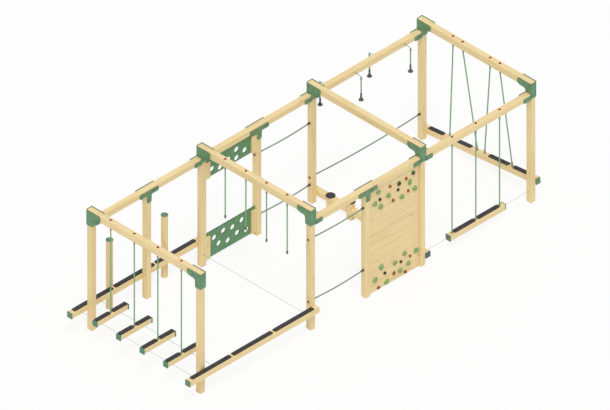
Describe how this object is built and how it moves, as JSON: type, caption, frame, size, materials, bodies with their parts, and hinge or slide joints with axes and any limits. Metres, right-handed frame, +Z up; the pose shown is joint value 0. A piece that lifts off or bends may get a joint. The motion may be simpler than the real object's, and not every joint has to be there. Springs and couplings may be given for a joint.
{
  "type": "climbing frame",
  "caption": "Square-timber climbing frame with swinging steps, hanging ropes, perforated panels, a climbing wall, low balance beams and hand grips under a run of raised beams.",
  "frame": {"origin": "on the ground, under the middle of the overall box", "axes": "+X along the frame from the swinging steps to the inclined beam, +Y from the climbing wall's row to the perforated panels' row, +Z up"},
  "size_m": [7.7362, 2.7866, 2.2688],
  "materials": {
    "planed_pine": "planed and sanded, with a clear preservative",
    "bracket_green": "semi-gloss powder coat",
    "panel_green": "fine satin",
    "rope_green": "laid polyamide over a steel core",
    "grip_green": "matt moulded rubber"
  },
  "bodies": {
    "frame": {"post_a_front": "planed_pine", "post_a_back": "planed_pine", "post_b_front": "planed_pine", "post_b_back": "planed_pine", "post_c_front": "planed_pine", "post_c_back": "planed_pine", "post_d_front": "planed_pine", "post_d_back": "planed_pine", "post_ab_back": "planed_pine", "post_bc_back": "planed_pine", "post_bc_front": "planed_pine", "cross_beam_a": "planed_pine", "cross_beam_b": "planed_pine", "cross_beam_c": "planed_pine", "cross_beam_d": "planed_pine", "long_beam_ab_back": "planed_pine", "long_beam_bc_back": "planed_pine", "long_beam_cd_back": "planed_pine", "long_beam_bc_front": "planed_pine", "long_beam_cd_front": "planed_pine", "corner_bracket_a_front": "bracket_green", "corner_bracket_a_back": "bracket_green", "corner_bracket_b_front": "bracket_green", "corner_bracket_b_back": "bracket_green", "corner_bracket_c_front": "bracket_green", "corner_bracket_c_back": "bracket_green", "corner_bracket_d_front": "bracket_green", "corner_bracket_d_back": "bracket_green", "tee_bracket_ab_back": "bracket_green", "tee_bracket_bc_back": "bracket_green", "tee_bracket_bc_front": "bracket_green", "balance_beam_front": "planed_pine", "balance_beam_back": "planed_pine", "stepping_beam": "planed_pine", "incline_beam": "planed_pine", "lower_panel": "panel_green", "upper_panel": "panel_green", "climbing_wall": "planed_pine", "side_rope_bc_back_upper": "rope_green", "side_rope_bc_back_lower": "rope_green", "side_rope_cd_back": "rope_green", "side_rope_bc_front_upper": "rope_green", "side_rope_bc_front_lower": "rope_green", "climb_rope_1": "rope_green", "climb_rope_2": "rope_green", "climb_rope_3": "rope_green", "climb_rope_4": "rope_green"},
    "step_1": {"swing_step_1": "planed_pine"},
    "step_2": {"swing_step_2": "planed_pine"},
    "step_3": {"swing_step_3": "planed_pine"},
    "step_4": {"swing_step_4": "planed_pine"},
    "swinging_beam": {"swing_beam": "planed_pine"},
    "rope_1": {"free_rope_1": "rope_green"},
    "rope_2": {"free_rope_2": "rope_green"},
    "rope_3": {"free_rope_3": "rope_green"},
    "rope_4": {"free_rope_4": "rope_green"},
    "grip_1": {"hand_grip_1": "grip_green"},
    "grip_2": {"hand_grip_2": "grip_green"},
    "grip_3": {"hand_grip_3": "grip_green"},
    "grip_4": {"hand_grip_4": "grip_green"}
  },
  "joints": [
    {"name": "step_1_swing", "type": "hinge", "parent": "frame", "child": "step_1", "pos_m": [-3.4821, 0.7155, 2.1197], "axis": [0, 1, 0], "range_deg": [-6, 6]},
    {"name": "step_2_swing", "type": "hinge", "parent": "frame", "child": "step_2", "pos_m": [-3.4821, 0.2025, 2.1197], "axis": [0, 1, 0], "range_deg": [-6, 6]},
    {"name": "step_3_swing", "type": "hinge", "parent": "frame", "child": "step_3", "pos_m": [-3.4821, -0.3105, 2.1197], "axis": [0, 1, 0], "range_deg": [-6, 6]},
    {"name": "step_4_swing", "type": "hinge", "parent": "frame", "child": "step_4", "pos_m": [-3.4821, -0.8235, 2.1197], "axis": [0, 1, 0], "range_deg": [-6, 6]},
    {"name": "beam_swing", "type": "hinge", "parent": "frame", "child": "swinging_beam", "pos_m": [2.5179, -1.239, 1.9457], "axis": [1, 0, 0], "range_deg": [-6, 6]},
    {"name": "rope_1_swing", "type": "hinge", "parent": "frame", "child": "rope_1", "pos_m": [-1.0821, 0.621, 2.1197], "axis": [0, 1, 0], "range_deg": [-30, 30]},
    {"name": "rope_2_swing", "type": "hinge", "parent": "frame", "child": "rope_2", "pos_m": [-1.0821, 0.171, 2.1197], "axis": [0, 1, 0], "range_deg": [-30, 30]},
    {"name": "rope_3_swing", "type": "hinge", "parent": "frame", "child": "rope_3", "pos_m": [-1.0821, -0.279, 2.1197], "axis": [0, 1, 0], "range_deg": [-30, 30]},
    {"name": "rope_4_swing", "type": "hinge", "parent": "frame", "child": "rope_4", "pos_m": [-1.0821, -0.729, 2.1197], "axis": [0, 1, 0], "range_deg": [-30, 30]},
    {"name": "grip_1_swing", "type": "hinge", "parent": "frame", "child": "grip_1", "pos_m": [1.6729, 1.309, 1.9867], "axis": [0, 1, 0], "range_deg": [-35, 35]},
    {"name": "grip_2_swing", "type": "hinge", "parent": "frame", "child": "grip_2", "pos_m": [2.2109, 0.953, 1.9867], "axis": [0, 1, 0], "range_deg": [-35, 35]},
    {"name": "grip_3_swing", "type": "hinge", "parent": "frame", "child": "grip_3", "pos_m": [2.7489, 1.309, 1.9867], "axis": [0, 1, 0], "range_deg": [-35, 35]},
    {"name": "grip_4_swing", "type": "hinge", "parent": "frame", "child": "grip_4", "pos_m": [3.2869, 0.953, 1.9867], "axis": [0, 1, 0], "range_deg": [-35, 35]}
  ],
  "couplings": [
    {"joint": "step_2_swing", "follows": "step_1_swing", "ratio": 1},
    {"joint": "step_3_swing", "follows": "step_1_swing", "ratio": 1},
    {"joint": "step_4_swing", "follows": "step_1_swing", "ratio": 1}
  ]
}
